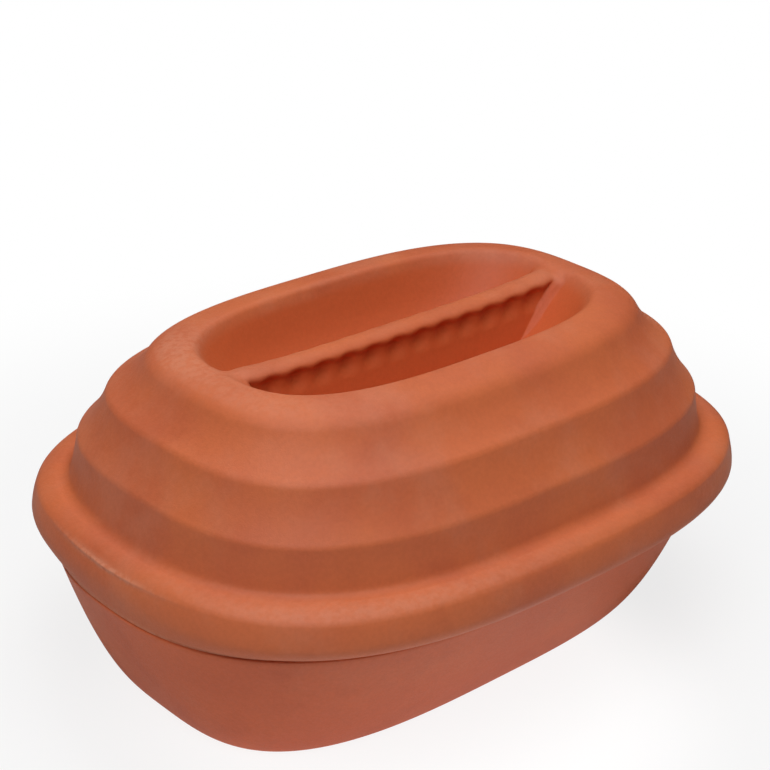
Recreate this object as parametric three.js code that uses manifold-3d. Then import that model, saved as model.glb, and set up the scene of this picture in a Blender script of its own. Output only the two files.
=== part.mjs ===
// Clay roaster for one chicken: an oval pot and a stepped lid, both of unglazed fired clay.
// Millimetres, +Z up, +X along the length, origin under the middle of the pot's foot.

import * as THREE from 'three';
import { LoftGeometry } from 'three/addons/geometries/LoftGeometry.js';
import { mergeVertices } from 'three/addons/utils/BufferGeometryUtils.js';
import Module from 'manifold-3d';

// Plan ovals: squareness 2 is a true ellipse, and more is squarer at the corners

const FOOT = { length: 282, width: 155, squareness: 3.25 };
const FLANGE = { length: 365, width: 269, squareness: 2.84 };
const MOUTH = { length: 223.5, width: 113, squareness: 3 };

// How far the flange stands out past the pot's rim and past the lid's lower edge

const RIM_OVERHANG = { end: 3.5, side: 15.1, squareness: 2.5 };
const EDGE_OVERHANG = { end: 4.7, side: 8.1, squareness: 2.63 };

// Pot: its height to the joint, its wall, and how full its belly is

const POT_HEIGHT = 76;
const POT_WALL = 9;
const POT_FLOOR = 10;
const BELLY = 1.54;
const RIM_ROUND = 2.2;

// Lid: heights above the joint of its top, the flange's crest, the crease under the crest's roll,
// and the flange's widest line, with the walls and how far the roll and the band under it bow out

const LID_HEIGHT = 97;
const CREST_HEIGHT = 25.8;
const CREASE_HEIGHT = 22.7;
const FLANGE_HEIGHT = 11.5;
const LID_WALL = 9;
const FLANGE_WALL = 18;
const LID_EDGE_ROUND = 1.8;
const ROLL_BOW = 0.9;
const BAND_BOW = 0.4;

// Stepped slope: places on the way from the mouth (0) out to the flange (1),
// and on the way from the mouth's height (0) down to the flange crest (1)

const RIDGES = [
  { out: 0.279, down: 0.073 },
  { out: 0.529, down: 0.343 },
  { out: 0.711, down: 0.667 },
];
const COVE_OUT = 0.755;
const CREST_OUT = 0.875;
const CREASE_OUT = 0.966;
const LAND_CROWN = 1.5;
const TIER_HOLLOW = 1.6;
const RIDGE_ROUNDING = 0.13;
const MOUTH_ROUND = 3.5;

// Finger well: its depth, how far its walls lean in, and the fillet round its floor

const WELL_DEPTH = 38;
const WELL_END_LEAN = 36;
const WELL_SIDE_LEAN = 18;
const WELL_FILLET = 14;
const WELL_WALL = 10;

// Grip bar across the well: its head, its dip at mid-span and its finger flutes

const BAR_WIDTH = 16;
const BAR_HEAD_ROUND = 4;
const BAR_HEAD_FLATNESS = 2.2;
const BAR_END_FLARE = 5;
const BAR_FLARE_LENGTH = 9;
const BAR_DIP = 3.8;
const BAR_COVE = 3.4;
const BAR_FOOT_SPREAD = 4;
const BAR_ROOT = 4;
const BAR_ROOT_FALL = 0.25;
const FLUTE_PITCH = 16;
const FLUTE_DEPTH = 2.4;
const FLUTE_END_MARGIN = 12;
const GRIP_START = 1.2;
const GRIP_FALL = 4.5;
const GRIP_END = 9;
const GRIP_RISE = 14;

// Seat: the lid rests on the rim, and its lip drops inside the pot

const SEAT_GAP = 0.3;
const LIP_DEPTH = 6;
const LIP_THICKNESS = 7;
const LIP_CLEARANCE = 1.5;

// Floors, in the pot and in the well, are crowned this far in from their edge and this high

const CROWN_RUN = 12;
const CROWN_RISE = 0.4;

// Facets: points round each oval, and stations for each flute along the bar

const RING_POINTS = 64;
const STATIONS_PER_FLUTE = 4;

const TOP_HEIGHT = POT_HEIGHT + LID_HEIGHT;
const RIM_HEIGHT = POT_HEIGHT - SEAT_GAP;

// A number part of the way from one to another

function mix(from, to, share) {
  return from + (to - from) * share;
}

// A smooth step from 0 to 1

function ease(share) {
  const clamped = Math.min(Math.max(share, 0), 1);
  return clamped * clamped * (3 - 2 * clamped);
}

// An oval part of the way from one to another

function between(from, to, share) {
  return {
    length: mix(from.length, to.length, share),
    width: mix(from.width, to.width, share),
    squareness: mix(from.squareness, to.squareness, share),
  };
}

// An oval drawn in by a distance at its ends and another at its sides

function drawnIn(oval, endInset, sideInset = endInset) {
  return {
    length: oval.length - 2 * endInset,
    width: oval.width - 2 * sideInset,
    squareness: oval.squareness,
  };
}

// The pot's rim and the lid's lower edge, which follow the flange

function flangeLessOverhang(overhang) {
  return { ...drawnIn(FLANGE, overhang.end, overhang.side), squareness: overhang.squareness };
}

const RIM = flangeLessOverhang(RIM_OVERHANG);
const LID_EDGE = flangeLessOverhang(EDGE_OVERHANG);

// One closed ring of points round an oval, a superellipse at height z

function ovalRing(oval, z) {
  const power = 2 / oval.squareness;
  const ring = [];
  for (let i = 0; i < RING_POINTS; i += 1) {
    const angle = (2 * Math.PI * i) / RING_POINTS;
    const across = Math.sign(Math.cos(angle)) * Math.abs(Math.cos(angle)) ** power;
    const along = Math.sign(Math.sin(angle)) * Math.abs(Math.sin(angle)) ** power;
    ring.push(new THREE.Vector3((oval.length / 2) * across, (oval.width / 2) * along, z));
  }
  return ring;
}

// The pot's outside and inside ovals at a height: the belly curves in to the foot

function potOutside(z) {
  return between(FOOT, RIM, (z / POT_HEIGHT) ** (1 / BELLY));
}

function potInside(z) {
  const depthShare = (z - POT_FLOOR) / (RIM_HEIGHT - POT_FLOOR);
  return drawnIn(potOutside(POT_HEIGHT * depthShare), POT_WALL);
}

// The last ring of a floor, which rises slightly towards its middle

function floorCrown(oval, z) {
  return ovalRing(drawnIn(oval, CROWN_RUN), z + CROWN_RISE);
}

// Pot: foot, belly, rounded rim, then the inside down to the floor

function makePot() {
  const wallSteps = [0.12, 0.24, 0.36, 0.5, 0.64, 0.78, 0.9];
  const shoulder = RIM_HEIGHT - RIM_ROUND;
  const rings = [ovalRing(FOOT, 0)];
  for (const step of wallSteps) {
    const z = shoulder * step ** 2;
    rings.push(ovalRing(potOutside(z), z));
  }
  for (const turn of [0, Math.PI / 4, Math.PI / 2]) {
    const inset = RIM_ROUND * (1 - Math.cos(turn));
    rings.push(ovalRing(drawnIn(potOutside(shoulder), inset), shoulder + RIM_ROUND * Math.sin(turn)));
  }
  rings.push(ovalRing(drawnIn(potInside(RIM_HEIGHT), -RIM_ROUND / 2), RIM_HEIGHT));
  for (const step of [0.98, ...wallSteps.toReversed(), 0]) {
    const z = mix(POT_FLOOR, RIM_HEIGHT, step ** 2);
    rings.push(ovalRing(potInside(z), z));
  }
  rings.push(floorCrown(potInside(POT_FLOOR), POT_FLOOR));
  return new LoftGeometry(rings, { closed: true, capStart: true, capEnd: true });
}

// A stretch of profile between two points, bowed outwards by a height (inwards if negative)

function bowed(from, to, bow) {
  const chord = to.clone().sub(from);
  const outward = new THREE.Vector2(-chord.y, chord.x).normalize();
  const control = from.clone().add(to).multiplyScalar(0.5).addScaledVector(outward, 2 * bow);
  return new THREE.QuadraticBezierCurve(from, control, to);
}

// A point on the lid's slope, drawn at the lid's long end: distance from the middle, height

function slopePoint(out, down) {
  const reach = mix(MOUTH.length / 2, FLANGE.length / 2, out);
  return new THREE.Vector2(reach, mix(TOP_HEIGHT, POT_HEIGHT + CREST_HEIGHT, down));
}

const SLOPE_CORNERS = [
  slopePoint(0, 0),
  ...RIDGES.map((ridge) => slopePoint(ridge.out, ridge.down)),
  slopePoint(CREST_OUT, 1),
];

// The oval that passes through a point of the slope profile

function slopeOval(reach) {
  const share = (2 * reach - MOUTH.length) / (FLANGE.length - MOUTH.length);
  return between(MOUTH, FLANGE, share);
}

// Rings down the slope: a crowned land, two hollow tiers, and a cove that falls steeply and runs
// level into the flange crest, with rounded ridges between

function slopeRings() {
  const tierBows = RIDGES.slice(1).map(() => -TIER_HOLLOW);
  const bows = [LAND_CROWN, ...tierBows];
  const stretches = bows.map((bow, i) => bowed(SLOPE_CORNERS[i], SLOPE_CORNERS[i + 1], bow));
  const [lowestRidge, crest] = SLOPE_CORNERS.slice(-2);
  stretches.push(new THREE.QuadraticBezierCurve(lowestRidge, slopePoint(COVE_OUT, 1), crest));
  const points = [];
  stretches.forEach((stretch, i) => {
    const next = stretches[i + 1];
    const start = i === 0 ? MOUTH_ROUND / stretch.getLength() : RIDGE_ROUNDING;
    const end = next ? 1 - RIDGE_ROUNDING : 1;
    for (const share of [0, 1 / 3, 2 / 3, 1]) {
      points.push(stretch.getPoint(mix(start, end, share)));
    }
    if (next) {
      const before = stretch.getPoint(end);
      const after = next.getPoint(RIDGE_ROUNDING);
      const nose = new THREE.QuadraticBezierCurve(before, SLOPE_CORNERS[i + 1], after);
      points.push(nose.getPoint(1 / 3), nose.getPoint(2 / 3));
    }
  });
  return points.map((point) => ovalRing(slopeOval(point.x), point.y));
}

// Rings round the flange: over its roll to the crease, down the band to the widest line,
// then drawn in under it to the lid's lower edge

function flangeRings() {
  const crest = SLOPE_CORNERS.at(-1);
  const crease = new THREE.Vector2(slopePoint(CREASE_OUT, 1).x, POT_HEIGHT + CREASE_HEIGHT);
  const widest = new THREE.Vector2(FLANGE.length / 2, POT_HEIGHT + FLANGE_HEIGHT);
  const roll = bowed(crest, crease, ROLL_BOW);
  const band = bowed(crease, widest, BAND_BOW);
  const points = [1 / 3, 2 / 3, 1].map((share) => roll.getPoint(share));
  points.push(band.getPoint(0.5), widest);
  const rings = points.map((point) => ovalRing(slopeOval(point.x), point.y));
  for (const share of [0.4, 0.7, 1]) {
    const z = POT_HEIGHT + mix(FLANGE_HEIGHT, LID_EDGE_ROUND, share);
    rings.push(ovalRing(between(FLANGE, LID_EDGE, share ** 2), z));
  }
  return rings;
}

// Rings under the rim: the flat seat, the lip inside the pot, and the hollow behind the flange

function seatRings() {
  const lipFoot = POT_HEIGHT - LIP_DEPTH;
  const lipOutside = drawnIn(potInside(lipFoot), LIP_CLEARANCE);
  const lipInside = drawnIn(lipOutside, LIP_THICKNESS);
  return [
    ovalRing(drawnIn(LID_EDGE, LID_EDGE_ROUND), POT_HEIGHT),
    ovalRing(drawnIn(potInside(RIM_HEIGHT), LIP_CLEARANCE), POT_HEIGHT),
    ovalRing(lipOutside, lipFoot),
    ovalRing(lipInside, lipFoot),
    ovalRing(lipInside, POT_HEIGHT),
    ovalRing(drawnIn(FLANGE, FLANGE_WALL), POT_HEIGHT + FLANGE_HEIGHT),
  ];
}

// Rings inside the lid: each ridge moved in by the wall, then the hollow under the land

function insideRings() {
  const rings = SLOPE_CORNERS.slice(1, -1).map((ridge, i) => {
    const chord = SLOPE_CORNERS[i + 2].clone().sub(SLOPE_CORNERS[i]);
    const inward = new THREE.Vector2(chord.y, -chord.x).normalize();
    const point = ridge.clone().addScaledVector(inward, LID_WALL);
    return ovalRing(slopeOval(point.x), point.y);
  });
  const land = bowed(SLOPE_CORNERS[0], SLOPE_CORNERS[1], LAND_CROWN).getPoint(0.5);
  rings.unshift(ovalRing(slopeOval(land.x), land.y - LID_WALL));
  return rings.toReversed();
}

// Steps down the well's wall: a straight lean, then the fillet that turns it into the floor.
// The lean is a share of the whole depth, and the fillet a share of its own run

const WELL_STRAIGHT = 1 - WELL_FILLET / WELL_DEPTH;
const WELL_STEPS = [
  { lean: MOUTH_ROUND / WELL_DEPTH, fillet: 0 },
  { lean: WELL_STRAIGHT / 2, fillet: 0 },
  { lean: WELL_STRAIGHT, fillet: 0 },
];
for (const turn of [1 / 3, 2 / 3, 1]) {
  WELL_STEPS.push({ lean: mix(1, WELL_STRAIGHT, (1 - turn) ** 2), fillet: turn ** 2 });
}

function wellOval(step) {
  const run = step.fillet * WELL_FILLET;
  return drawnIn(MOUTH, step.lean * WELL_END_LEAN + run, step.lean * WELL_SIDE_LEAN + run);
}

// Rings down the well, and rings down the underside of its wall and floor

function wellRings() {
  const rings = WELL_STEPS.map((step) => ovalRing(wellOval(step), TOP_HEIGHT - step.lean * WELL_DEPTH));
  rings.push(floorCrown(wellOval(WELL_STEPS.at(-1)), TOP_HEIGHT - WELL_DEPTH));
  return rings;
}

function wellUndersideRings() {
  return WELL_STEPS.slice(1).map((step) => {
    const z = TOP_HEIGHT - step.lean * (WELL_DEPTH + LID_WALL);
    return ovalRing(drawnIn(wellOval(step), -WELL_WALL), z);
  });
}

// Lid shell: up out of the well, over the slope and flange, and back under to the well's floor

function makeLidShell() {
  const rings = [
    ...wellRings().toReversed(),
    ovalRing(MOUTH, TOP_HEIGHT - MOUTH_ROUND / 4),
    ...slopeRings(),
    ...flangeRings(),
    ...seatRings(),
    ...insideRings(),
    ...wellUndersideRings(),
  ];
  return new LoftGeometry(rings.toReversed(), { closed: true, capStart: true, capEnd: true });
}

// How deep the grip hollow is at a place along the bar: a cove, deeper in each finger flute,
// with as many whole flutes each side of the middle as the mouth has room for

const FLUTED_HALF = FLUTE_PITCH * Math.floor((MOUTH.length / 2 - FLUTE_END_MARGIN) / FLUTE_PITCH);

function gripHollow(x) {
  const fade = 1 - ease((Math.abs(x) - FLUTED_HALF) / FLUTE_END_MARGIN);
  const flute = 0.5 - 0.5 * Math.cos((2 * Math.PI * x) / FLUTE_PITCH);
  return fade * (BAR_COVE + FLUTE_DEPTH * flute);
}

// Half the bar's width at a place along it and a depth below its top: a rounded head, the grip
// hollow, a spreading foot, and a flare where the bar runs into the well's leaning end wall

function barHalfWidth(x, depth) {
  const shortfall = Math.max(0, 1 - depth / BAR_HEAD_ROUND) ** BAR_HEAD_FLATNESS;
  const head = (1 - shortfall) ** (1 / BAR_HEAD_FLATNESS);
  const rise = ease((depth - GRIP_END) / GRIP_RISE);
  const hollow = ease((depth - GRIP_START) / GRIP_FALL) * (1 - rise);
  const spread = BAR_FOOT_SPREAD * rise;
  const wall = MOUTH.length / 2 - (depth / WELL_DEPTH) * WELL_END_LEAN;
  const flare = BAR_END_FLARE * ease((Math.abs(x) - wall + BAR_FLARE_LENGTH) / BAR_FLARE_LENGTH);
  return head * (BAR_WIDTH / 2 + flare) - hollow * gripHollow(x) + spread;
}

// Grip bar: sections across it from end to end, rooted in the well's floor and end walls

function makeGripBar() {
  const halfMouth = MOUTH.length / 2;
  const halfSpan = halfMouth + BAR_ROOT;
  const stations = Math.round((2 * halfSpan * STATIONS_PER_FLUTE) / FLUTE_PITCH);
  const sideShares = [0.02, 0.05, 0.09, 0.15, 0.22, 0.3, 0.42, 0.56, 0.76, 1];
  const sections = [];
  for (let i = 0; i <= stations; i += 1) {
    const x = mix(-halfSpan, halfSpan, i / stations);
    const overrun = Math.max(0, Math.abs(x) - halfMouth);
    const dip = BAR_DIP * Math.max(0, 1 - (x / halfMouth) ** 2);
    const top = TOP_HEIGHT - dip - (BAR_ROOT_FALL * overrun) / BAR_ROOT;
    const wallShare = Math.min(Math.max((halfMouth - Math.abs(x)) / WELL_END_LEAN, 0), 1);
    const root = TOP_HEIGHT - wallShare * WELL_DEPTH - BAR_ROOT;
    const near = sideShares.map((share) => {
      const depth = share * (top - root);
      return new THREE.Vector3(x, -barHalfWidth(x, depth), top - depth);
    });
    const far = near.map((point) => new THREE.Vector3(point.x, -point.y, point.z));
    sections.push([new THREE.Vector3(x, 0, top), ...near, ...far.toReversed()]);
  }
  return new LoftGeometry(sections, { closed: true, capStart: true, capEnd: true });
}

// Joining: a closed geometry becomes a solid, and a joined solid becomes a geometry again

const wasm = await Module();
wasm.setup();

function toSolid(geometry) {
  const bare = new THREE.BufferGeometry();
  bare.setAttribute('position', geometry.getAttribute('position'));
  bare.setIndex(geometry.getIndex());
  const merged = mergeVertices(bare);
  const vertProperties = Float32Array.from(merged.attributes.position.array);
  const triVerts = Uint32Array.from(merged.index.array);
  return new wasm.Manifold(new wasm.Mesh({ numProp: 3, vertProperties, triVerts }));
}

function toGeometry(solid) {
  const mesh = solid.getMesh();
  const geometry = new THREE.BufferGeometry();
  geometry.setAttribute('position', new THREE.BufferAttribute(mesh.vertProperties, 3));
  geometry.setIndex(new THREE.BufferAttribute(mesh.triVerts, 1));
  geometry.computeVertexNormals();
  return geometry;
}

function makeLid() {
  return toGeometry(toSolid(makeLidShell()).add(toSolid(makeGripBar())));
}

// The two pieces, each in its own fired clay

const roaster = new THREE.Group();

function addPiece(name, geometry, color) {
  const clay = new THREE.MeshStandardMaterial({ color, roughness: 0.9, metalness: 0 });
  const mesh = new THREE.Mesh(geometry, clay);
  mesh.name = name;
  roaster.add(mesh);
}

addPiece('pot', makePot(), '#b1593a');
addPiece('lid', makeLid(), '#c4683f');

export default roaster;
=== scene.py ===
# Clay roaster for one chicken: an oval pot and a stepped lid, both of unglazed fired clay.
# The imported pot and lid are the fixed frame, in metres, and a finer surface stands for each.

import bpy
import numpy as np
from mathutils import Matrix, Vector


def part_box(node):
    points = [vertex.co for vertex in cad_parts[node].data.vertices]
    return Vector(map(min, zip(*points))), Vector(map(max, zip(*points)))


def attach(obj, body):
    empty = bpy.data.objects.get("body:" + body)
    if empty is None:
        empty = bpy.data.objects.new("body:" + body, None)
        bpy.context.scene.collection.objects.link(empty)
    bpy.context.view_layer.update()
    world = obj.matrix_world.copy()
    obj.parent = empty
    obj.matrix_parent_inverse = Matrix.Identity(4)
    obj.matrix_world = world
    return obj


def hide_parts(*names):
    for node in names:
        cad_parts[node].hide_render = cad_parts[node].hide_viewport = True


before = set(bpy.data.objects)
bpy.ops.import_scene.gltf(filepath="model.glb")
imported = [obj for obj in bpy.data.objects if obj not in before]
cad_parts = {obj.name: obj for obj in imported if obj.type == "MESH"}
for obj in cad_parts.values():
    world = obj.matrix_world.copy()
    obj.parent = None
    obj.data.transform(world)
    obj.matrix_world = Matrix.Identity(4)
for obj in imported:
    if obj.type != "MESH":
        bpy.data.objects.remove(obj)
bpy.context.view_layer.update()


# Pot: the oval bowl that holds the bird, pressed from red clay in a mould and fired without a glaze.
# Its belly curves in to a flat foot, and its rounded rim carries the lid.

# FOOT and RIM are ovals: half length, half width and squareness. WARP and BULGE put the rim out of true.
pot_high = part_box("pot")[1]
RIM_ROUND = 0.0012
POT_SHOULDER = pot_high.z - RIM_ROUND
POT_WALL = 0.009
POT_FLOOR = 0.010
BELLY = 1.54
FOOT = np.array([0.141, 0.0775, 3.25])
RIM = np.array([pot_high.x, pot_high.y, 2.5])
WARP = np.array([-0.0030, -0.0030, 0.0])
BULGE = 0.0034
BULGE_TURN = np.radians(-132.0)
BULGE_SPREAD = 0.40
POT_POINTS = 320
BELLY_STEPS = 56
WALL_STEPS = 44
POLE_SIZE = 0.02


def row(oval, height):
    """One ring of a piece as a row of numbers: half length, half width, squareness and height."""
    return np.append(oval, height)


def rows(ovals, heights):
    """Many rings of a piece, one row each."""
    return np.column_stack([ovals, np.broadcast_to(heights, len(ovals))])


def drawn_in(oval, inset):
    """An oval moved in by an equal distance all round, or by one distance for each row of insets."""
    return oval - np.multiply.outer(inset, np.array([1.0, 1.0, 0.0]))


def straight(start, end, steps):
    """Rows evenly spaced from one row to another, without the last."""
    share = np.linspace(0.0, 1.0, steps, endpoint=False)[:, None]
    return start + (end - start) * share


def curve(start, corner, end, share):
    """Rows or points at shares of the way along a quadratic curve, led by a corner."""
    share = np.expand_dims(share, -1)
    return start * (1 - share) ** 2 + corner * 2 * share * (1 - share) + end * share**2


def rounded(start, corner, end, steps):
    """Rows along a quadratic curve from start towards a corner and on to end, without the last."""
    return curve(start, corner, end, np.linspace(0.0, 1.0, steps, endpoint=False))


def pole(ring):
    """A ring shrunk almost to a point, where a small fan can close the mesh."""
    return np.append(ring[:2] * POLE_SIZE, ring[2:])


def oval_rings(table, points):
    """Rings of points round ovals, one ring for each row of half length, half width, squareness and height.

    Towards each direction the reach r fits (r |cos| / half length)^n + (r |sin| / half width)^n = 1,
    where n is the squareness: 2 is a true ellipse, and more is squarer at the corners.
    """
    turn = np.linspace(0.0, 2.0 * np.pi, points, endpoint=False)
    half_length, half_width, squareness, height = (column[:, None] for column in table.T)
    along = np.abs(np.cos(turn)) / half_length
    across = np.abs(np.sin(turn)) / half_width
    reach = (along**squareness + across**squareness) ** (-1.0 / squareness)
    flat = np.stack([reach * np.cos(turn), reach * np.sin(turn)], axis=-1)
    return np.concatenate([flat, np.broadcast_to(height[..., None], flat.shape[:2] + (1,))], axis=-1)


def closed_mesh(name, rings):
    """A closed mesh: four-sided faces join each ring to the next, and fans close the first and the last."""
    count, points = rings.shape[:2]
    vertices = np.concatenate([rings.reshape(-1, 3), rings[[0, -1]].mean(axis=1)])
    here = np.arange(count * points).reshape(count, points)
    beside = np.roll(here, -1, axis=1)
    quads = np.stack([here[:-1], beside[:-1], beside[1:], here[1:]], axis=-1).reshape(-1, 4)
    first_pole = np.full(points, count * points)
    first_fan = np.stack([first_pole, beside[0], here[0]], axis=-1)
    last_fan = np.stack([here[-1], beside[-1], first_pole + 1], axis=-1)
    mesh = bpy.data.meshes.new(name)
    mesh.from_pydata(vertices.tolist(), [], quads.tolist() + first_fan.tolist() + last_fan.tolist())
    mesh.shade_smooth()
    return mesh


def place_piece(name, mesh):
    """An object for a finished mesh, at the origin."""
    piece = bpy.data.objects.new(name, mesh)
    bpy.context.scene.collection.objects.link(piece)
    return piece


def pot_outside(height):
    """The pot's outside ovals at heights: the way from the foot to the rim grows as a root of the height."""
    share = np.clip(height / POT_SHOULDER, 0.0, 1.0) ** (1.0 / BELLY)
    return FOOT + (RIM - FOOT) * np.expand_dims(share, -1)


def pot_inside(height):
    """The pot's inside ovals: the outside, pressed down to start at the floor, and drawn in by the wall."""
    share = (height - POT_FLOOR) / (pot_high.z - POT_FLOOR)
    return pot_outside(POT_SHOULDER * share) - np.array([POT_WALL, POT_WALL, 0.0])


def bell(turn, middle, spread):
    """A bell over the turn round the middle of a piece: one at its own middle, and nothing far from it."""
    return np.exp(-((np.angle(np.exp(1j * (turn - middle))) / spread) ** 2))


def warped(rings):
    """The pot's rings, with its outside out of true towards the rim, as the clay dried.

    The outside is drawn to one side and bulges at the near corner. Both shifts grow with the square of the
    height, and only points outside the wall's middle move.
    """
    height = rings[..., 2:] / pot_high.z
    middle = pot_inside(rings[..., 2].clip(POT_FLOOR))[..., :2] + POT_WALL / 2
    outside = (np.abs(rings[..., :2]) / middle) ** RIM[2]
    turn = np.arctan2(rings[..., 1], rings[..., 0])
    outward = np.stack([np.cos(turn), np.sin(turn), np.zeros_like(turn)], axis=-1)
    shift = WARP + BULGE * bell(turn, BULGE_TURN, BULGE_SPREAD)[..., None] * outward
    return rings + shift * height**2 * (outside.sum(axis=-1, keepdims=True) > 1)


def pot_rows():
    """The pot's rings: out under the foot, up the belly, over the rim, and down inside to the floor."""
    foot_edge = row(FOOT, 0.0)
    underside = straight(pole(foot_edge), foot_edge, steps=8)
    climb = POT_SHOULDER * np.linspace(0.0, 1.0, BELLY_STEPS, endpoint=False) ** 2
    belly = rows(pot_outside(climb), climb)
    turn = np.linspace(0.0, np.pi / 2, num=7)
    lip_outside = rows(drawn_in(RIM, RIM_ROUND * (1 - np.cos(turn))), POT_SHOULDER + RIM_ROUND * np.sin(turn))
    inner_edge = pot_inside(pot_high.z)
    lip_inside = rounded(
        row(drawn_in(inner_edge, -RIM_ROUND), pot_high.z),
        row(inner_edge, pot_high.z),
        row(pot_inside(POT_SHOULDER), POT_SHOULDER),
        steps=6,
    )
    fall = POT_FLOOR + (POT_SHOULDER - POT_FLOOR) * np.linspace(1.0, 0.0, WALL_STEPS) ** 2
    wall = rows(pot_inside(fall), fall)
    floor_edge = row(pot_inside(POT_FLOOR), POT_FLOOR)
    floor = straight(floor_edge, pole(floor_edge), steps=10)[1:]
    return np.concatenate([underside, belly, lip_outside, lip_inside, wall, floor])


def vertex_values(vertices, name):
    """A vector of each vertex, as rows of three numbers."""
    values = np.zeros(len(vertices) * 3)
    vertices.foreach_get(name, values)
    return values.reshape(-1, 3)


def neighbour_average(mesh):
    """A function that averages rows of values, one for each vertex, over the vertex's neighbours."""
    ends = np.zeros(len(mesh.edges) * 2, np.int32)
    mesh.edges.foreach_get("vertices", ends)
    first, second = ends.reshape(-1, 2).T
    count = len(mesh.vertices)
    neighbours = np.bincount(first, minlength=count) + np.bincount(second, minlength=count)

    def average(values):
        totals = [
            np.bincount(first, column[second], count) + np.bincount(second, column[first], count)
            for column in values.T
        ]
        return np.stack(totals, axis=-1) / neighbours[:, None]

    return average


def store(mesh, name, values):
    """Keeps one value for each vertex, under a name that a material can read."""
    layer = mesh.attributes.new(name, "FLOAT", "POINT")
    layer.data.foreach_set("value", values.ravel().astype(np.float32))


def edge_attribute(mesh, spread):
    """Stores how sharply each vertex stands proud of its neighbours, over the square of the way to them.

    Ridges and rims come out above zero and hollows below, after the values are averaged with
    their neighbours' as many times as spread says.
    """
    places = vertex_values(mesh.vertices, "co")
    average = neighbour_average(mesh)
    step = places - average(places)
    square = (average(places**2) - 2 * places * average(places) + places**2).sum(axis=-1)
    proud = (step * vertex_values(mesh.vertices, "normal")).sum(axis=-1) / square
    proud = proud[:, None]
    for _ in range(spread):
        proud = 0.5 * proud + 0.5 * average(proud)
    store(mesh, "proud", proud)


def wire(tree, source, socket):
    """Feeds a socket from another socket, or sets it to a plain value."""
    if isinstance(source, bpy.types.NodeSocket):
        tree.links.new(source, socket)
    else:
        socket.default_value = source


def noise(tree, place, scale, detail, roughness):
    """Cloudy noise around one half, with lumps about one over scale metres wide."""
    node = tree.nodes.new("ShaderNodeTexNoise")
    node.inputs["Scale"].default_value = scale
    node.inputs["Detail"].default_value = detail
    node.inputs["Roughness"].default_value = roughness
    tree.links.new(place, node.inputs["Vector"])
    return node.outputs["Fac"]


def stepped(tree, value, low, high, bottom=0.0, top=1.0):
    """A smooth step: bottom where the value is short of low, and top where it is past high.

    High may be the smaller of the two, and the step then runs the other way.
    """
    node = tree.nodes.new("ShaderNodeMapRange")
    node.interpolation_type = "SMOOTHSTEP"
    for name, setting in (("From Min", low), ("From Max", high), ("To Min", bottom), ("To Max", top)):
        node.inputs[name].default_value = setting
    tree.links.new(value, node.inputs["Value"])
    return node.outputs["Result"]


def maths(tree, operation, *values):
    """A sum, product or other operation on two values, or on three."""
    node = tree.nodes.new("ShaderNodeMath")
    node.operation = operation
    for source, socket in zip(values, node.inputs):
        wire(tree, source, socket)
    return node.outputs[0]


def tinted(tree, factor, first, second, blend="MIX"):
    """One colour laid over another by a factor.

    The node has sockets of the same names for numbers and vectors, so its colour sockets go by position.
    """
    node = tree.nodes.new("ShaderNodeMix")
    node.data_type = "RGBA"
    node.blend_type = blend
    wire(tree, factor, node.inputs[0])
    wire(tree, first, node.inputs[6])
    wire(tree, second, node.inputs[7])
    return node.outputs[2]


def linear(red, green, blue):
    """A colour as it reads on a screen, 0 to 255, as the linear values of a shader, by the sRGB curve."""
    share = np.array([red, green, blue]) / 255.0
    light = np.where(share <= 0.04045, share / 12.92, ((share + 0.055) / 1.055) ** 2.4)
    return (*light.tolist(), 1.0)


def new_group(name, inputs, outputs):
    """A shader node group with named sockets, and its input and output nodes."""
    tree = bpy.data.node_groups.new(name, "ShaderNodeTree")
    for label, kind in inputs:
        tree.interface.new_socket(label, in_out="INPUT", socket_type=kind)
    for label, kind in outputs:
        tree.interface.new_socket(label, in_out="OUTPUT", socket_type=kind)
    return tree, tree.nodes.new("NodeGroupInput").outputs, tree.nodes.new("NodeGroupOutput").inputs


# How far noise shifts the start of a rubbed edge with its painted highlight, and how much higher the lumps
# are than the grain.
RUB_AND_HIGHLIGHT_RAGGED = 12.0
LUMP_SHARE = 2.5


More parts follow.
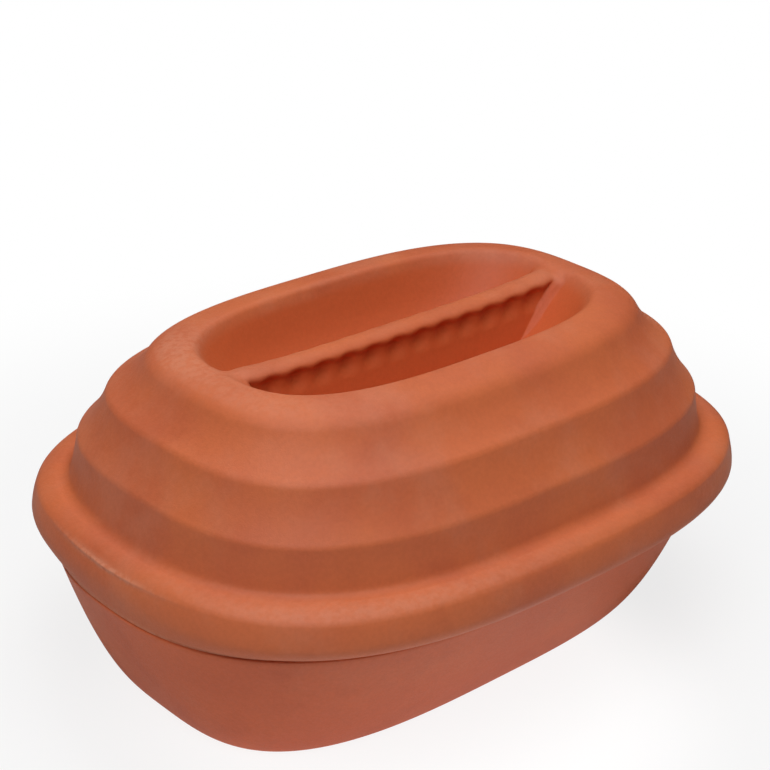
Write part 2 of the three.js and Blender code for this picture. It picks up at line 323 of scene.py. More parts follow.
def clay_colour_group():
    """Fired clay's colour: cloudy warm and deep patches, a pale dusty bloom, rubbed edges and fine specks,
    with painted shade, highlight, sheen and bounce.
    """
    tree, given, result = new_group(
        "clay_colour",
        [
            ("Place", "NodeSocketVector"),
            ("Proud", "NodeSocketFloat"),
            ("Clay", "NodeSocketColor"),
            ("Warm", "NodeSocketColor"),
            ("Deep And Hollow Shade", "NodeSocketColor"),
            ("Dust And Highlight", "NodeSocketColor"),
            ("Dust And Highlight Amount", "NodeSocketFloat"),
            ("Raw", "NodeSocketColor"),
            ("Sunk", "NodeSocketFloat"),
            ("Scuffs And Highlight", "NodeSocketFloat"),
        ],
        [("Colour", "NodeSocketColor")],
    )
    place = given["Place"]
    patches = noise(tree, place, scale=13.0, detail=3.0, roughness=0.5)
    warm = stepped(tree, patches, low=0.40, high=0.62)
    colour = tinted(tree, warm, given["Clay"], given["Warm"])
    blotches = noise(tree, place, scale=31.0, detail=5.0, roughness=0.6)
    deep = stepped(tree, blotches, low=0.50, high=0.72, top=0.2)
    colour = tinted(tree, deep, colour, given["Deep And Hollow Shade"])
    # Painted shade: hollows take on more of the deep colour, as shade falls in them.
    hollow = stepped(tree, given["Proud"], low=0.0, high=-9.0, top=0.10)
    colour = tinted(tree, hollow, colour, given["Deep And Hollow Shade"])
    clouds = noise(tree, place, scale=22.0, detail=6.0, roughness=0.62)
    dust_and_highlight = maths(tree, "MULTIPLY", stepped(tree, clouds, low=0.45, high=0.70), given["Dust And Highlight Amount"])
    crumbs = noise(tree, place, scale=140.0, detail=4.0, roughness=0.6)
    ragged = maths(tree, "MULTIPLY_ADD", crumbs, 2 * RUB_AND_HIGHLIGHT_RAGGED, -RUB_AND_HIGHLIGHT_RAGGED)
    # Painted highlight: ridges and rims turn paler, partly from rubbed wear and partly as light caught along
    # them.
    rubbed_and_highlit = stepped(tree, maths(tree, "ADD", given["Proud"], ragged), low=10.0, high=40.0)
    dust_and_highlight = maths(tree, "MAXIMUM", dust_and_highlight, maths(tree, "MULTIPLY", rubbed_and_highlit, given["Dust And Highlight Amount"]))
    scrapes = noise(tree, place, scale=260.0, detail=4.0, roughness=0.6)
    patchy = stepped(tree, scrapes, low=0.36, high=0.60, bottom=0.35)
    # The scuffs are real wear, and on the lid they also carry painted sheen on the crest's front and the
    # top's left.
    dust_and_highlight = maths(tree, "MAXIMUM", dust_and_highlight, maths(tree, "MULTIPLY", given["Scuffs And Highlight"], patchy))
    # The pale colour goes on as real dust and scuffs, and as painted highlight and sheen.
    colour = tinted(tree, dust_and_highlight, colour, given["Dust And Highlight"])
    # Painted bounce light: inside the well the colour gives way to a deeper red, as in a hollow lit by light
    # off the clay.
    colour = tinted(tree, given["Sunk"], colour, given["Raw"])
    specks = noise(tree, place, scale=480.0, detail=2.0, roughness=0.5)
    mottle = stepped(tree, specks, low=0.3, high=0.7, bottom=0.975, top=1.025)
    colour = tinted(tree, 1.0, colour, mottle, "MULTIPLY")
    tree.links.new(colour, result["Colour"])
    return tree


def clay_grain_group():
    """Fired clay's skin: soft lumps from the mould, and a fine open grain."""
    tree, given, result = new_group(
        "clay_grain",
        [("Place", "NodeSocketVector")],
        [("Height", "NodeSocketFloat"), ("Roughness", "NodeSocketFloat")],
    )
    place = given["Place"]
    lumps = noise(tree, place, scale=95.0, detail=3.0, roughness=0.5)
    grain = noise(tree, place, scale=1100.0, detail=4.0, roughness=0.65)
    height = maths(tree, "MULTIPLY_ADD", lumps, LUMP_SHARE, grain)
    dullness = stepped(tree, grain, low=0.3, high=0.7, bottom=0.52, top=0.64)
    tree.links.new(height, result["Height"])
    tree.links.new(dullness, result["Roughness"])
    return tree


CLAY_SHEEN = 0.35
CLAY_SPREAD = 0.2
GRAIN_STRENGTH = 0.35
GRAIN_DEPTH = 0.0004
EDGE_PASSES = 6
clay_colour = clay_colour_group()
clay_grain = clay_grain_group()


def clay_material(name, colours, dust_and_highlight_amount):
    """Unglazed fired clay: a dull diffuse body, coloured and roughened by the two clay groups."""
    material = bpy.data.materials.new(name)
    material.use_nodes = True
    tree = material.node_tree
    shader = tree.nodes["Principled BSDF"]
    shader.inputs["Specular IOR Level"].default_value = CLAY_SHEEN
    shader.inputs["Diffuse Roughness"].default_value = CLAY_SPREAD
    place = tree.nodes.new("ShaderNodeTexCoord").outputs["Object"]
    colour = tree.nodes.new("ShaderNodeGroup")
    colour.node_tree = clay_colour
    tree.links.new(place, colour.inputs["Place"])
    for label in ("Proud", "Sunk", "Scuffs And Highlight"):
        stored = tree.nodes.new("ShaderNodeAttribute")
        stored.attribute_name = label.lower()
        tree.links.new(stored.outputs["Fac"], colour.inputs[label])
    for label, shade in colours.items():
        colour.inputs[label].default_value = shade
    colour.inputs["Dust And Highlight Amount"].default_value = dust_and_highlight_amount
    grain = tree.nodes.new("ShaderNodeGroup")
    grain.node_tree = clay_grain
    tree.links.new(place, grain.inputs["Place"])
    bump = tree.nodes.new("ShaderNodeBump")
    bump.inputs["Strength"].default_value = GRAIN_STRENGTH
    bump.inputs["Distance"].default_value = GRAIN_DEPTH
    tree.links.new(grain.outputs["Height"], bump.inputs["Height"])
    tree.links.new(colour.outputs["Colour"], shader.inputs["Base Color"])
    tree.links.new(grain.outputs["Roughness"], shader.inputs["Roughness"])
    tree.links.new(bump.outputs["Normal"], shader.inputs["Normal"])
    return material


# The patch's edge leans back from the rim by PATCH_LEAN for each unit down, and softens over a short width.
PATCH_LEAN = 0.34
PATCH_SOFTNESS = 0.004
PATCH_STRENGTH = 0.18


def scuff_pot(mesh):
    """Stores the pale scuffs on the pot: a patch round its left end, with a fairly sharp edge."""
    x, y, z = vertex_values(mesh.vertices, "co").T
    patch = np.clip((y - PATCH_LEAN * (pot_high.z - z)) / PATCH_SOFTNESS, 0.0, 1.0)
    store(mesh, "scuffs and highlight", PATCH_STRENGTH * patch * (x < 0))


# Beside the clay's own tones, the deep colour also serves as painted shade in hollows and the pale one as
# painted highlight along edges.
POT_COLOURS = {
    "Clay": linear(210, 103, 63),
    "Warm": linear(216, 107, 64),
    "Deep And Hollow Shade": linear(177, 76, 43),
    "Dust And Highlight": linear(212, 129, 94),
    "Raw": linear(190, 92, 54),
}
POT_DUST_AND_HIGHLIGHT = 0.18
pot_mesh = closed_mesh("pot_clay", warped(oval_rings(pot_rows(), POT_POINTS)))
edge_attribute(pot_mesh, EDGE_PASSES)
scuff_pot(pot_mesh)
pot_mesh.materials.append(clay_material("pot_clay", POT_COLOURS, POT_DUST_AND_HIGHLIGHT))
pot = place_piece("pot_bowl", pot_mesh)
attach(pot, "pot")
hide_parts("pot")


# Lid: the stepped cover, pressed from the same clay, with a wide flange that overhangs the pot.
# A deep finger well is sunk in its top, and a fluted grip bar, part of the same clay, crosses the well.

# FLANGE, MOUTH and LID_EDGE are ovals: half length, half width and squareness.
lid_low, lid_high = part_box("lid")
SEAT_GAP = 0.0003
JOINT_HEIGHT = pot_high.z + SEAT_GAP
LID_TOP = lid_high.z
CREST_HEIGHT = JOINT_HEIGHT + 0.0258
CREASE_HEIGHT = JOINT_HEIGHT + 0.0227
FLANGE_HEIGHT = JOINT_HEIGHT + 0.0115
END_OVERHANG = 0.0047
SIDE_OVERHANG = 0.0081
FLANGE = np.array([lid_high.x, lid_high.y, 2.84])
MOUTH = np.array([0.11175, 0.0565, 3.0])
LID_EDGE = np.array([FLANGE[0] - END_OVERHANG, FLANGE[1] - SIDE_OVERHANG, 2.63])
LID_WALL = 0.009
FLANGE_WALL = 0.018
EDGE_ROUND = 0.0008
LID_POINTS = 320

# Bends of the slope are shares of the way out from the mouth to the flange and down from the top to the
# crest. Bows are heights over a stretch's chord, and reaches are lengths either side of each bend.
RIDGES = ((0.279, 0.073), (0.529, 0.343), (0.711, 0.667))
COVE = (0.79, 0.975)
SHOULDER = (0.912, 0.990)
CREASE_OUT = 0.966
COVE_SOFTER = 0.15
LAND_CROWN = 0.0015
FIRST_HOLLOW = 0.0023
TIER_HOLLOW = 0.0016
COVE_HOLLOW = 0.0006
CREST_BOW = 0.0003
ROLL_BOW = 0.0003
BAND_BOW = 0.0004
CORNER_REACHES = (0.0038, 0.0024, 0.0020, 0.0040, 0.0036, 0.0010)
MOUTH_ROUND = 0.0024
STRETCH_STEPS = 10
NOSE_STEPS = 8


def slope_point(out, down):
    """A point of the slope at the lid's long end: its reach from the middle, and its height."""
    return np.array([
        MOUTH[0] + (FLANGE[0] - MOUTH[0]) * out,
        LID_TOP + (CREST_HEIGHT - LID_TOP) * down,
    ])


def slope_rows(points):
    """Rings through points of the slope: the ovals change evenly from the mouth's to the flange's.

    Round the cove they are slightly less square.
    """
    share = (points[:, :1] - MOUTH[0]) / (FLANGE[0] - MOUTH[0])
    ovals = MOUTH + (FLANGE - MOUTH) * share
    ovals[:, 2] -= COVE_SOFTER * np.interp(share[:, 0], (RIDGES[-1][0], COVE[0], CREASE_OUT), (0.0, 1.0, 0.0))
    return rows(ovals, points[:, 1])


def bow_corner(start, end, bow):
    """The corner that bows a curve between two points: twice the bow out, or in, from their middle."""
    chord = end - start
    outward = np.array([-chord[1], chord[0]]) / np.linalg.norm(chord)
    return (start + end) / 2 + outward * 2 * bow


def slope_profile():
    """The slope from the mouth out to the flange's widest line.

    It is a crowned land, two hollow tiers, a steep cove wall, a level crest, a roll and an upright band. Each
    stretch is a bowed curve that stops short of its ends, and a rounded nose joins it to the next.
    """
    crease = np.array([slope_point(CREASE_OUT, 1.0)[0], CREASE_HEIGHT])
    widest = np.array([FLANGE[0], FLANGE_HEIGHT])
    bends = (slope_point(*ridge) for ridge in (*RIDGES, COVE, SHOULDER))
    corners = np.array([slope_point(0.0, 0.0), *bends, crease, widest])
    bows = (LAND_CROWN, -FIRST_HOLLOW, -TIER_HOLLOW, -COVE_HOLLOW, CREST_BOW, ROLL_BOW, BAND_BOW)
    controls = [bow_corner(*ends, bow) for *ends, bow in zip(corners, corners[1:], bows)]
    lengths = np.linalg.norm(np.diff(corners, axis=0), axis=-1)
    starts = np.array([MOUTH_ROUND, *CORNER_REACHES]) / lengths
    stops = 1.0 - np.array([*CORNER_REACHES, 0.0]) / lengths
    points = []
    for i, control in enumerate(controls):
        share = np.linspace(starts[i], stops[i], STRETCH_STEPS)
        points.append(curve(corners[i], control, corners[i + 1], share))
        if i < len(CORNER_REACHES):
            after = curve(corners[i + 1], controls[i + 1], corners[i + 2], starts[i + 1])
            points.append(rounded(points[-1][-1], corners[i + 1], after, NOSE_STEPS)[1:])
    return np.concatenate(points)


def edge_rows():
    """Under the flange: in from its widest line to the lid's lower edge, and round that edge.

    The way in grows as the square of the way down.
    """
    share = np.linspace(0.0, 1.0, num=10)[1:, None]
    drop = FLANGE_HEIGHT + (JOINT_HEIGHT + EDGE_ROUND - FLANGE_HEIGHT) * share[:, 0]
    under = rows(FLANGE + (LID_EDGE - FLANGE) * share**2, drop)
    seat_edge = row(drawn_in(LID_EDGE, EDGE_ROUND), JOINT_HEIGHT)
    edge = rounded(under[-1], row(LID_EDGE, JOINT_HEIGHT), seat_edge, steps=6)[1:]
    return np.concatenate([under, edge])


LIP_THICKNESS = 0.007
LIP_CLEARANCE = 0.0015
LIP_ROUND = 0.0015


def soft_corner(before, corner, after):
    """A small round at a corner of the rows, reaching LIP_ROUND back along both of its sides."""
    back = np.abs(before - corner).max()
    ahead = np.abs(after - corner).max()
    start = corner + (before - corner) * min(LIP_ROUND / back, 0.5)
    end = corner + (after - corner) * min(LIP_ROUND / ahead, 0.5)
    return np.concatenate([rounded(start, corner, end, steps=4), end[None]])


def seat_rows():
    """Under the rim: the flat seat, the lip that drops inside the pot, and the way up behind the flange."""
    lip_top = drawn_in(pot_inside(pot_high.z), LIP_CLEARANCE)
    lip_foot = drawn_in(pot_inside(lid_low.z), LIP_CLEARANCE)
    lip_back = drawn_in(lip_foot, LIP_THICKNESS)
    corners = [
        row(drawn_in(LID_EDGE, EDGE_ROUND), JOINT_HEIGHT),
        row(lip_top, JOINT_HEIGHT),
        row(lip_foot, lid_low.z),
        row(lip_back, lid_low.z),
        row(lip_back, JOINT_HEIGHT),
        row(drawn_in(FLANGE, FLANGE_WALL), FLANGE_HEIGHT),
    ]
    return np.concatenate([soft_corner(*corners[i : i + 3]) for i in range(len(corners) - 2)])


def soft_line(corners, steps):
    """A smooth line led by corners: a cubic B-spline from the first to the last."""
    lead = 2 * corners[:1] - corners[1:2]
    trail = 2 * corners[-1:] - corners[-2:-1]
    padded = np.concatenate([lead, corners, trail])
    way = np.linspace(0.0, len(corners) - 1.0, steps)
    first = np.minimum(way.astype(int), len(corners) - 2)
    share = way - first
    weights = [
        (1 - share) ** 3,
        3 * share**3 - 6 * share**2 + 4,
        -3 * share**3 + 3 * share**2 + 3 * share + 1,
        share**3,
    ]
    blend = np.stack(weights, axis=-1) / 6
    return (blend[..., None] * padded[first[:, None] + np.arange(4)]).sum(axis=1)


WELL_DEPTH = 0.038
WELL_END_LEAN = 0.036
WELL_SIDE_LEAN = 0.018
WELL_FILLET = 0.022
WELL_WALL = 0.010
WELL_STRAIGHT = 1 - WELL_FILLET / WELL_DEPTH


def well_rows(lean, run, depth, spread):
    """Ovals down the well: drawn in by shares of the lean and the fillet's run, and let out by a spread."""
    inset = np.stack([lean * WELL_END_LEAN + run, lean * WELL_SIDE_LEAN + run, np.zeros_like(lean)], axis=-1)
    return rows(MOUTH - inset + np.array([spread, spread, 0.0]), LID_TOP - lean * depth)


def well_steps(first, steps):
    """Shares of the lean and runs of the fillet down the well: a straight lean, then a quadratic fillet."""
    lean = np.linspace(first, WELL_STRAIGHT, steps)
    turn = np.linspace(0.0, 1.0, steps)[1:]
    fillet_lean = 1 + (WELL_STRAIGHT - 1) * (1 - turn) ** 2
    return np.append(lean, fillet_lean), np.append(np.zeros(steps), turn**2 * WELL_FILLET)


# The lid's edge passes the rim by a small margin. The slack counts the whole of the edge's round as outer.
EDGE_MARGIN = 0.0003
ROUND_SLACK = 1.01


def seated(rings):
    """The lid's rings, with its lower edge let out to the pot's rim wherever the rim reaches further.

    The let-out is greatest at the joint and dies out, as a square, at the flange's widest line.
    """
    reach = np.linalg.norm(rings[..., :2], axis=-1)
    turn = np.arctan2(rings[0, :, 1], rings[0, :, 0])
    rim = warped(oval_rings(row(RIM, POT_SHOULDER)[None], LID_POINTS))[0]
    rim_turn = np.arctan2(rim[:, 1], rim[:, 0])
    rim_reach = np.interp(turn, rim_turn, np.hypot(rim[:, 0], rim[:, 1]), period=2 * np.pi)
    edge = oval_rings(row(LID_EDGE, JOINT_HEIGHT)[None], LID_POINTS)[0]
    edge_reach = np.hypot(edge[:, 0], edge[:, 1])
    share = np.clip((FLANGE_HEIGHT - rings[..., 2]) / (FLANGE_HEIGHT - JOINT_HEIGHT), 0.0, 1.0)
    outer = reach > edge_reach - ROUND_SLACK * EDGE_ROUND
    let_out = np.maximum(rim_reach + EDGE_MARGIN - edge_reach, 0.0) * share**2 * outer
    return rings * np.stack([1 + let_out / reach, 1 + let_out / reach, np.ones_like(reach)], axis=-1)


# A point is outside where the flange's oval formula, which is one on the oval itself, is over the measure.
OUTSIDE_MEASURE = 0.765
WHOLE_HEIGHT = 1.0
SCUFF_SPREAD = 0.19
SCUFF_RAISE = 0.0008
SCUFF_HALF = 0.0008
RAGGED_DEPTH = 0.3
RAGGED_WAVES = (41, 97)
SAG = 0.0028
SAG_HALF = 0.006
NARROWING = 0.0036
NARROWING_TURN = np.radians(-45.0)
NARROWING_SPREAD = 0.5
NARROWING_HALF = 0.0035


def left_share(x, y):
    """How near points are to the lid's left end: a bell over the turn."""
    return bell(np.arctan2(y, x), np.pi, SCUFF_SPREAD)


def on_crease(x, y, z, half):
    """How near points are to the crease on the lid's outside: a bell over the height.

    With WHOLE_HEIGHT the bell is so wide that it only picks the outside from the inside.
    """
    outer = (np.abs(x) / FLANGE[0]) ** FLANGE[2] + (np.abs(y) / FLANGE[1]) ** FLANGE[2] > OUTSIDE_MEASURE
    return np.exp(-(((z - CREASE_HEIGHT) / half) ** 2)) * outer


def scuffed(rings):
    """The lid's rings, out of true: the crease sags at the left end, under a ragged raised lip.

    The lip is a bell across the crease and along it, cut up by two sine waves. At the right corner the foot
    of the cove is let out by a bell over the turn and the height, so that the roll is narrower there.
    """
    x, y, z = np.moveaxis(rings, -1, 0)
    turn = np.arctan2(y, x)
    short, shorter = RAGGED_WAVES
    ragged = 1 - RAGGED_DEPTH + RAGGED_DEPTH * np.sin(short * turn) * np.sin(shorter * turn)
    lip = SCUFF_RAISE * left_share(x, y) * ragged * on_crease(x, y, z, SCUFF_HALF)
    sag = SAG * left_share(x, y) * on_crease(x, y, z, SAG_HALF)
    foot = np.exp(-(((z - slope_point(*COVE)[1]) / NARROWING_HALF) ** 2)) * on_crease(x, y, z, WHOLE_HEIGHT)
    out = lip + NARROWING * bell(turn, NARROWING_TURN, NARROWING_SPREAD) * foot
    return rings + np.stack([out * np.cos(turn), out * np.sin(turn), -sag], axis=-1)


# Dust with painted sheen on the top sets in to the left of its start, is stronger on the far side, and ends
# at the first ridge.
LIP_SCUFF = 0.9
EDGE_SCUFF = 0.7
EDGE_SCUFF_HALF = 0.0016
EDGE_MEASURE = 0.95
TOP_DUST_AND_SHEEN = 0.35
TOP_PALE_START = 0.05
TOP_PALE_RUN = 0.08
TOP_PALE_NEAR = 0.8
TOP_PALE_FAR = 1.6
TOP_PALE_SIDE = 0.02
TOP_PALE_ACROSS = 0.06
TOP_PALE_DROP = 0.004
# The crest's pale band is painted sheen, strongest on the side that faces the key lamp.
CREST_SHEEN = 0.3
CREST_SHEEN_HALF = 0.0025
CREST_SHEEN_SPREAD = 0.8


def ease(share):
    """A smooth step from 0 to 1: three times the square of the share less twice its cube."""
    share = np.clip(share, 0.0, 1.0)
    return share * share * (3 - 2 * share)


def lid_scuffs_and_highlight(mesh):
    """Stores the pale scuffs and painted sheen on the lid, the strongest of four at each vertex.

    They run along the raised lip at the left end and round the lower edge, lie as dust with painted sheen on
    the left of the top, and as painted sheen along the front of the crest, on the side facing the key lamp.
    """
    x, y, z = vertex_values(mesh.vertices, "co").T
    lip = left_share(x, y) * on_crease(x, y, z + SAG * left_share(x, y), 2 * SCUFF_HALF)
    outer = (np.abs(x) / LID_EDGE[0]) ** LID_EDGE[2] + (np.abs(y) / LID_EDGE[1]) ** LID_EDGE[2] > EDGE_MEASURE
    edge = np.exp(-(((z - JOINT_HEIGHT) / EDGE_SCUFF_HALF) ** 2)) * outer
    # Dust on the left of the top, with painted sheen that is stronger on the far side, where the top is seen
    # at a grazing angle.
    far = ease((y + TOP_PALE_SIDE) / TOP_PALE_ACROSS)
    left = ease((-x - TOP_PALE_START) / TOP_PALE_RUN)
    far_left = left * (TOP_PALE_NEAR + (TOP_PALE_FAR - TOP_PALE_NEAR) * far)
    top = TOP_DUST_AND_SHEEN * far_left * ease((z - slope_point(*RIDGES[0])[1]) / TOP_PALE_DROP)
    # Painted sheen: the crest turns paler on the side that faces the key lamp and the camera.
    front = bell(np.arctan2(y, x), BULGE_TURN, CREST_SHEEN_SPREAD)
    on_outside = on_crease(x, y, z, WHOLE_HEIGHT)
    crest_sheen = CREST_SHEEN * front * np.exp(-(((z - CREST_HEIGHT) / CREST_SHEEN_HALF) ** 2)) * on_outside
    store(mesh, "scuffs and highlight", np.maximum.reduce([LIP_SCUFF * lip, EDGE_SCUFF * edge, top, crest_sheen]))


# The inside is led by points a wall in from each ridge and a share of it down, and a wall under the land.
INSIDE_DROP = 0.55
LAND_RING = 4


def lid_rows():
    """The lid's rings: out inside it, round the lip and seat, up the flange and slope, and down the well."""
    slope = slope_rows(slope_profile())
    flange_inside = seat_rows()[::-1]
    land_under = slope[LAND_RING] - np.array([0.0, 0.0, 0.0, LID_WALL])
    ridges = np.array([slope_point(*ridge) for ridge in RIDGES])
    ridge_inside = slope_rows(ridges - np.array([LID_WALL, LID_WALL * INSIDE_DROP]))
    lean, run = well_steps(WELL_STRAIGHT / 2, steps=9)
    under_well = well_rows(lean, run, WELL_DEPTH + LID_WALL, WELL_WALL)[::-1]
    inside_corners = np.concatenate([under_well[-1:], land_under[None], ridge_inside, flange_inside[:1]])
    hollow = soft_line(inside_corners, steps=20)
    lean, run = well_steps(MOUTH_ROUND / WELL_DEPTH, steps=16)
    well = well_rows(lean, run, WELL_DEPTH, 0.0)
    mouth_edge = rounded(slope[0], row(MOUTH, LID_TOP), well[0], steps=8)[1:]
    return np.concatenate([
        straight(pole(under_well[0]), under_well[0], steps=5),
        under_well[:-1],
        hollow[:-1],
        flange_inside,
        edge_rows()[::-1],
        slope[::-1],
        mouth_edge,
        well,
        straight(well[-1], pole(well[-1]), steps=8)[1:],
    ])


BAR_HALF = 0.0080
BAR_HEAD = 0.0060
BAR_FLATNESS = 2.0
BAR_DIP = 0.0038
BAR_DIP_POWER = 4
BAR_COVE = 0.0022
BAR_RECESS = 0.0016
BAR_FOOT_SPREAD = 0.004
BAR_ROOT = 0.004
BAR_ROOT_FALL = 0.0625
BAR_FILLET = 0.005
BAR_END_ROUND = 0.009
BAR_CHAMFER = 0.0035
FLUTE_PITCH = 0.016
FLUTE_DEPTH = 0.0017
FLUTE_END = 0.0020
EDGE_SCALLOP = 0.0006
GRIP_START = 0.0020
GRIP_FALL = 0.0065
GRIP_END = 0.0105
GRIP_RISE = 0.0080
BLEND_PASSES = 46
BLEND_REACH = 0.012
BLEND_FULL = 1.5
BLEND_ACROSS = 0.8
SUNK_RUN = 0.006
BAR_STATIONS = 240


def fillet(gap, radius):
    """How far a hollow quarter circle stands out from a wall, at a gap from the surface it runs into."""
    left = np.clip(radius - gap, 0.0, radius)
    return radius - np.sqrt(radius**2 - left**2)


def bar_half_width(x, depth):
    """Half the bar's width along it and down it: a round head, a fluted grip hollow and a spreading foot.

    The flutes scallop the head's edge and die out part of the way down. At the ends the head rounds out
    into the mouth's edge, and below it the web meets the end wall in a flat chamfer.
    """
    end_gap = MOUTH[0] - WELL_END_LEAN * depth / WELL_DEPTH - np.abs(x)
    fade = ease((end_gap - BAR_CHAMFER) / FLUTE_END)
    rise = ease((depth - GRIP_END) / GRIP_RISE)
    flute = fade * (1 - rise) * (0.5 - 0.5 * np.cos(2 * np.pi * x / FLUTE_PITCH))
    sunk = BAR_COVE + (BAR_RECESS - BAR_COVE) * rise
    hollow = ease((depth - GRIP_START) / GRIP_FALL) * (fade * sunk + FLUTE_DEPTH * flute)
    head = (1 - np.clip(1 - depth / BAR_HEAD, 0.0, 1.0) ** BAR_FLATNESS) ** (1 / BAR_FLATNESS)
    chamfer = np.clip(BAR_CHAMFER - end_gap, 0.0, BAR_CHAMFER)
    round_out = fillet(np.maximum(end_gap, 0.0), BAR_END_ROUND)
    root = round_out + (chamfer - round_out) * ease(depth / (2 * BAR_HEAD))
    edge = BAR_HALF + root - EDGE_SCALLOP * flute
    foot = BAR_FOOT_SPREAD * ease((depth - GRIP_END) / (WELL_DEPTH - GRIP_END))
    return head * edge - hollow + foot + fillet(WELL_DEPTH - depth, BAR_FILLET)


def grip_bar_rings():
    """Sections across the grip bar from end to end, each from the top down the near side and up the far one.

    At every depth the bar spans the well between its leaning end walls, and runs on into them by its root.
    Stations crowd towards the ends: each way w from the middle is taken as (3 w - w^3) / 2.
    """
    way = np.linspace(-1.0, 1.0, BAR_STATIONS)
    share = (way * (1.5 - 0.5 * way**2))[:, None]
    head = BAR_HEAD * (1 - np.cos(np.linspace(0.0, np.pi / 2, num=11, endpoint=False)))
    depth = np.append(head, np.linspace(BAR_HEAD, WELL_DEPTH + BAR_ROOT, num=30))[None, :]
    span = MOUTH[0] - WELL_END_LEAN * np.minimum(depth / WELL_DEPTH, 1.0) + BAR_ROOT
    x = share * span
    overrun = np.maximum(0.0, np.abs(x) - MOUTH[0])
    dipped = np.maximum(0.0, 1 - (x / MOUTH[0]) ** BAR_DIP_POWER)
    dip = BAR_DIP * dipped * (1 - depth / (WELL_DEPTH + BAR_ROOT))
    z = LID_TOP - dip - overrun * BAR_ROOT_FALL - depth
    y = bar_half_width(x, depth)
    near = np.stack([x, -y, z], axis=-1)
    far = np.stack([x, y, z], axis=-1)
    return np.concatenate([near, far[:, :0:-1]], axis=1)


def joined(shell, bar):
    """One closed mesh of a shell and the bar that runs into it."""
    shell_piece = place_piece("lid_shell", shell)
    bar_piece = place_piece("grip_bar", bar)
    union = shell_piece.modifiers.new("union", "BOOLEAN")
    union.operation = "UNION"
    union.solver = "MANIFOLD"
    union.object = bar_piece
    shown = shell_piece.evaluated_get(bpy.context.evaluated_depsgraph_get())
    mesh = bpy.data.meshes.new_from_object(shown)
    bpy.data.objects.remove(shell_piece)
    bpy.data.objects.remove(bar_piece)
    return mesh


def blended_ends(mesh):
    """Rounds the seam where the bar's ends run into the land.

    Each vertex near an end of the bar's top moves to the average of its neighbours, many times over, by a
    weight that is one near the end and falls to nothing at the blend's reach.
    """
    places = vertex_values(mesh.vertices, "co")
    ends = np.array([MOUTH[0], 0.0, LID_TOP])
    away = np.linalg.norm((np.abs(places) - ends) * np.array([1.0, BLEND_ACROSS, 1.0]), axis=-1)
    weight = ease(BLEND_FULL * (1 - away / BLEND_REACH))[:, None]
    average = neighbour_average(mesh)
    for _ in range(BLEND_PASSES):
        places = places + weight * (average(places) - places)
    mesh.vertices.foreach_set("co", places.ravel())
    mesh.update()


def sunk_attribute(mesh):
    """Stores how far each vertex is sunk in the finger well, from 0 at the mouth to 1 a little way down."""
    x, y, z = vertex_values(mesh.vertices, "co").T
    reach = (np.abs(x) / MOUTH[0]) ** MOUTH[2] + (np.abs(y) / MOUTH[1]) ** MOUTH[2]
    over_floor = z > LID_TOP - WELL_DEPTH - LID_WALL / 2
    sunk = ease((LID_TOP - MOUTH_ROUND - z) / SUNK_RUN) * (reach < 1) * over_floor
    store(mesh, "sunk", sunk)


# Beside the clay's own tones, the deep colour also serves as painted shade in hollows, the pale one as
# painted highlight and sheen, and the well's red as painted bounce light.
LID_COLOURS = {
    "Clay": linear(197, 100, 62),
    "Warm": linear(206, 108, 64),
    "Deep And Hollow Shade": linear(166, 74, 42),
    "Dust And Highlight": linear(212, 142, 112),
    "Raw": linear(197, 91, 47),
}
LID_DUST_AND_HIGHLIGHT = 0.2
lid_shell = closed_mesh("lid_shell", scuffed(seated(oval_rings(lid_rows(), LID_POINTS))))
grip_bar = closed_mesh("grip_bar", grip_bar_rings())
lid_mesh = joined(lid_shell, grip_bar)
blended_ends(lid_mesh)
lid_mesh.shade_smooth()
lid_mesh.materials.clear()
edge_attribute(lid_mesh, EDGE_PASSES)
sunk_attribute(lid_mesh)
lid_scuffs_and_highlight(lid_mesh)
lid_mesh.materials.append(clay_material("lid_clay", LID_COLOURS, LID_DUST_AND_HIGHLIGHT))
lid = place_piece("lid_cover", lid_mesh)
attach(lid, "lid")
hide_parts("lid")


# Floor: a wide pale sheet that the pot stands on. Near the object it is a dull white that takes the
# shadow, and further out it fades to plain white for the camera. Under the pot's front it glows
# faintly, as a brightly lit table would, and so lights the belly from below.

FLOOR_HALF = 4.0
FLOOR_GAP = 0.0002
FLOOR_SHADE = (0.75, 0.75, 0.75, 1.0)
PLAIN_WHITE = (1.0, 1.0, 1.0, 1.0)
WHITE_NEAR = 0.8
SHADOW_NEAR = 0.22
SHADOW_FAR = 0.50
FLOOR_GLOW = 0.43
GLOW_MIDDLE = (-0.033, -0.038, 0.0)
GLOW_HALF = (0.114, 0.135, 1.0)
GLOW_NEAR = 0.85
GLOW_FAR = 1.45


def floor_mesh():
    """A flat square, facing up, a hair under the pot's foot so that the two never share one plane."""
    square = FLOOR_HALF * np.array([[-1, -1], [1, -1], [1, 1], [-1, 1]])
    corners = np.column_stack([square, np.full(len(square), -FLOOR_GAP)])
    mesh = bpy.data.meshes.new("floor")
    mesh.from_pydata(corners.tolist(), [], [(0, 1, 2, 3)])
    return mesh


def vector_maths(tree, operation, *vectors):
    """The outputs of an operation on one vector, or on two."""
    node = tree.nodes.new("ShaderNodeVectorMath")
    node.operation = operation
    for source, socket in zip(vectors, node.inputs):
        wire(tree, source, socket)
    return node.outputs


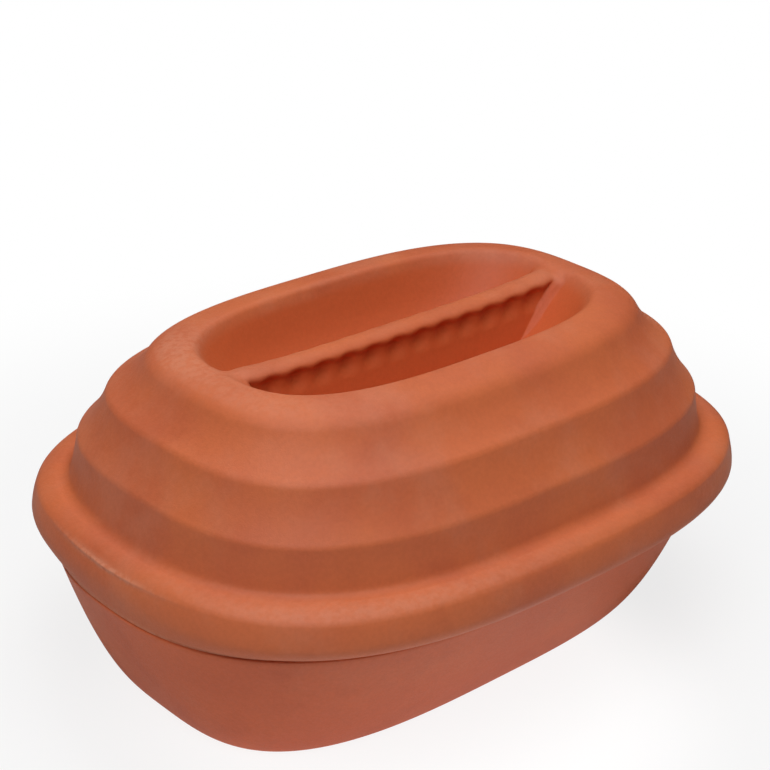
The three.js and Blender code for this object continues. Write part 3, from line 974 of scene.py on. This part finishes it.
def floor_material():
    """Dull white near the object, fading with distance to plain white as the camera sees it.

    The glow is full in the middle of an oval under the pot's front, and fades to nothing outside it.
    """
    material = bpy.data.materials.new("pale_floor")
    material.use_nodes = True
    tree = material.node_tree
    shader = tree.nodes["Principled BSDF"]
    shader.inputs["Base Color"].default_value = FLOOR_SHADE
    shader.inputs["Roughness"].default_value = 1.0
    shader.inputs["Specular IOR Level"].default_value = 0.0
    shader.inputs["Emission Color"].default_value = PLAIN_WHITE
    white = tree.nodes.new("ShaderNodeEmission")
    place = tree.nodes.new("ShaderNodeTexCoord").outputs["Object"]
    distance = vector_maths(tree, "LENGTH", place)["Value"]
    away = stepped(tree, distance, SHADOW_NEAR, SHADOW_FAR, WHITE_NEAR, 1.0)
    shifted = vector_maths(tree, "SUBTRACT", place, GLOW_MIDDLE)["Vector"]
    stretched = vector_maths(tree, "DIVIDE", shifted, GLOW_HALF)["Vector"]
    oval = vector_maths(tree, "LENGTH", stretched)["Value"]
    glow = stepped(tree, oval, GLOW_NEAR, GLOW_FAR, FLOOR_GLOW, 0.0)
    tree.links.new(glow, shader.inputs["Emission Strength"])
    seen = tree.nodes.new("ShaderNodeLightPath").outputs["Is Camera Ray"]
    choice = tree.nodes.new("ShaderNodeMixShader")
    tree.links.new(maths(tree, "MULTIPLY", away, seen), choice.inputs[0])
    tree.links.new(shader.outputs[0], choice.inputs[1])
    tree.links.new(white.outputs[0], choice.inputs[2])
    tree.links.new(choice.outputs[0], tree.nodes["Material Output"].inputs["Surface"])
    return material


floor = place_piece("floor", floor_mesh())
floor.data.materials.append(floor_material())


# Light: three broad soft lamps, one high on the camera's side, one overhead and a weaker one behind.
# A faint even sky fills the shadows, and the camera sees it as plain white.

LAMP_DISTANCE = 1.6
SKY_LEVEL = 0.02


def from_object(turn, rise):
    """The direction from the object to a place seen at a turn round it and a rise above the horizon."""
    return Vector((np.sin(turn) * np.cos(rise), -np.cos(turn) * np.cos(rise), np.sin(rise)))


def soft_lamp(name, turn, rise, width, height, power):
    """A flat soft lamp that faces the object from a turn and a rise in degrees."""
    lamp = bpy.data.lights.new(name, "AREA")
    lamp.shape = "RECTANGLE"
    lamp.size = width
    lamp.size_y = height
    lamp.energy = power
    stand = bpy.data.objects.new(name, lamp)
    way = from_object(np.radians(turn), np.radians(rise))
    stand.location = way * LAMP_DISTANCE
    stand.rotation_euler = way.to_track_quat("Z", "Y").to_euler()
    bpy.context.scene.collection.objects.link(stand)


soft_lamp("key", turn=-50.0, rise=57.0, width=1.0, height=0.8, power=11.2)
soft_lamp("overhead", turn=-43.0, rise=88.0, width=1.1, height=1.1, power=11.6)
soft_lamp("rear", turn=137.0, rise=65.0, width=1.1, height=1.1, power=3.6)

world = bpy.data.worlds.new("studio")
bpy.context.scene.world = world
world.use_nodes = True
sky = world.node_tree
sky_light = sky.nodes["Background"]
sky_light.inputs["Color"].default_value = PLAIN_WHITE
sky_light.inputs["Strength"].default_value = SKY_LEVEL
backdrop = sky.nodes.new("ShaderNodeBackground")
backdrop.inputs["Color"].default_value = PLAIN_WHITE
sky_seen = sky.nodes.new("ShaderNodeLightPath").outputs["Is Camera Ray"]
sky_choice = sky.nodes.new("ShaderNodeMixShader")
sky.links.new(sky_seen, sky_choice.inputs[0])
sky.links.new(sky_light.outputs[0], sky_choice.inputs[1])
sky.links.new(backdrop.outputs[0], sky_choice.inputs[2])
sky.links.new(sky_choice.outputs[0], sky.nodes["World Output"].inputs["Surface"])


# Camera: a long lens above the near left corner, rolled slightly as in the photograph.
# It stands off a point inside the lid, and its lens is given in pixels of the square picture.

CAMERA_TURN = np.radians(-43.59)
CAMERA_RISE = np.radians(25.05)
CAMERA_ROLL = np.radians(2.49)
CAMERA_DISTANCE = 0.9984
CAMERA_TARGET = Vector((0.00997, 0.02038, 0.1243))
FOCAL_PIXELS = 1939.0
IMAGE_PIXELS = 770.0

camera_data = bpy.data.cameras.new("camera")
camera_data.sensor_width = 36.0
camera_data.lens = FOCAL_PIXELS / IMAGE_PIXELS * camera_data.sensor_width
camera = bpy.data.objects.new("camera", camera_data)
back = from_object(CAMERA_TURN, CAMERA_RISE)
side = Vector((np.cos(CAMERA_TURN), np.sin(CAMERA_TURN), 0.0))
up = back.cross(side)
rolled_side = side * np.cos(CAMERA_ROLL) + up * np.sin(CAMERA_ROLL)
rolled_up = up * np.cos(CAMERA_ROLL) - side * np.sin(CAMERA_ROLL)
facing = Matrix((rolled_side, rolled_up, back)).transposed().to_4x4()
camera.matrix_world = Matrix.Translation(CAMERA_TARGET + back * CAMERA_DISTANCE) @ facing
bpy.context.scene.collection.objects.link(camera)
bpy.context.scene.camera = camera
bpy.context.scene.view_settings.view_transform = "Standard"
